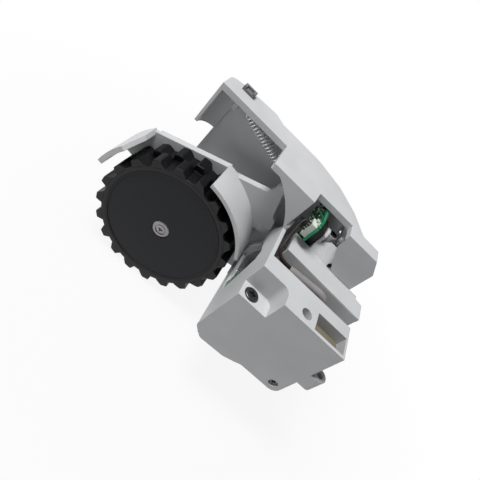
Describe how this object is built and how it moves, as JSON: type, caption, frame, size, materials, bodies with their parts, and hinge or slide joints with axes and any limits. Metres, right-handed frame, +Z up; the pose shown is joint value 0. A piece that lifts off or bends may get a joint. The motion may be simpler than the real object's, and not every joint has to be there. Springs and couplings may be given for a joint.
{
  "type": "robot vacuum wheel module",
  "caption": "Drive wheel module of a robot vacuum cleaner: a lugged wheel on a sprung swinging gearbox arm, hinged in a moulded frame with a connector box.",
  "frame": {"origin": "in the screw hole of the side lug, on its axis, in the plane where the lug rests on the robot's base", "axes": "+X from the wheel towards the connector box, +Y inboard along the wheel's axle, +Z up"},
  "size_m": [0.1344, 0.0762, 0.0989],
  "materials": {
    "grey_plastic": "moulded light grey, fine satin",
    "screw_steel": "zinc plated",
    "bush_plastic": "natural acetal",
    "dark_screw": "black oxide",
    "black_plastic": "moulded black",
    "contact_gold": "gold plated",
    "sleeve_grey": "soft grey sleeve",
    "wire_skin": "wire insulation",
    "board_green": "solder mask",
    "chip_black": "chip resin",
    "socket_white": "moulded off-white",
    "pad_grey": "dark grey pad",
    "spring_steel": "bright spring wire",
    "bush_metal": "sintered bronze",
    "shaft_steel": "ground steel",
    "motor_steel": "zinc plated can",
    "magnet_dark": "sintered magnet",
    "gear_brass": "machined brass",
    "gear_plastic": "natural acetal",
    "rim_black": "moulded black",
    "tyre_rubber": "matte rubber",
    "hub_steel": "stamped grey steel"
  },
  "bodies": {
    "frame": {"frame_housing": "grey_plastic", "pivot_cover": "grey_plastic", "cover_screws": "screw_steel", "pivot_bush": "bush_plastic", "stub_bush": "bush_plastic", "mount_screw": "dark_screw", "box_screw": "dark_screw", "connector_body": "black_plastic", "connector_contacts": "contact_gold", "cable_sleeve": "sleeve_grey", "sensor_wires": "wire_skin", "sensor_board": "board_green", "board_parts": "chip_black", "board_socket": "socket_white", "switch_body": "black_plastic", "boss_ring": "black_plastic", "deck_pad": "pad_grey", "spring_pin": "screw_steel", "tension_spring": "spring_steel"},
    "plunger": {"switch_plunger": "black_plastic"},
    "arm": {"arm_case": "grey_plastic", "arm_cover": "grey_plastic", "case_screws": "screw_steel", "shaft_bush_outer": "bush_metal", "shaft_bush_inner": "bush_metal", "gear_axles": "shaft_steel", "motor_can": "motor_steel", "motor_bell": "black_plastic", "encoder_board": "board_green", "encoder_parts": "socket_white", "motor_cap": "black_plastic"},
    "rotor": {"motor_shaft": "shaft_steel", "motor_pinion": "gear_brass", "magnet_ring": "magnet_dark"},
    "first_stage": {"first_gear": "gear_plastic"},
    "second_stage": {"second_gear": "gear_plastic"},
    "wheel": {"wheel_rim": "rim_black", "tyre": "tyre_rubber", "hub_screw": "hub_steel", "drive_shaft": "shaft_steel", "output_gear": "gear_plastic"}
  },
  "joints": [
    {"name": "suspension", "type": "hinge", "parent": "frame", "child": "arm", "pos_m": [-0.0372, 0.0559, -0.006], "axis": [0, 1, 0], "range_deg": [0, 21], "stiffness_Nm_per_rad": 0.25, "springref_deg": -31.51, "deforming": ["tension_spring"]},
    {"name": "wheel_spin", "type": "hinge", "parent": "arm", "child": "wheel", "pos_m": [-0.08971, 0.0359, -0.01573], "axis": [0, 1, 0], "continuous": true},
    {"name": "second_gear_spin", "type": "hinge", "parent": "arm", "child": "second_stage", "pos_m": [-0.06729, 0.0559, -0.01158], "axis": [0, 1, 0], "continuous": true},
    {"name": "first_gear_spin", "type": "hinge", "parent": "arm", "child": "first_stage", "pos_m": [-0.05195, 0.0539, -0.00873], "axis": [0, 1, 0], "continuous": true},
    {"name": "motor_spin", "type": "hinge", "parent": "arm", "child": "rotor", "pos_m": [-0.0372, 0.0359, -0.006], "axis": [0, 1, 0], "continuous": true},
    {"name": "switch_press", "type": "slide", "parent": "frame", "child": "plunger", "axis": [1, 0, 0], "range_m": [0, 0.0009], "stiffness_N_per_m": 300, "springref_m": -0.0005}
  ],
  "couplings": [
    {"joint": "second_gear_spin", "follows": "wheel_spin", "ratio": -3.75},
    {"joint": "first_gear_spin", "follows": "wheel_spin", "ratio": 12.5},
    {"joint": "motor_spin", "follows": "wheel_spin", "ratio": -50}
  ]
}
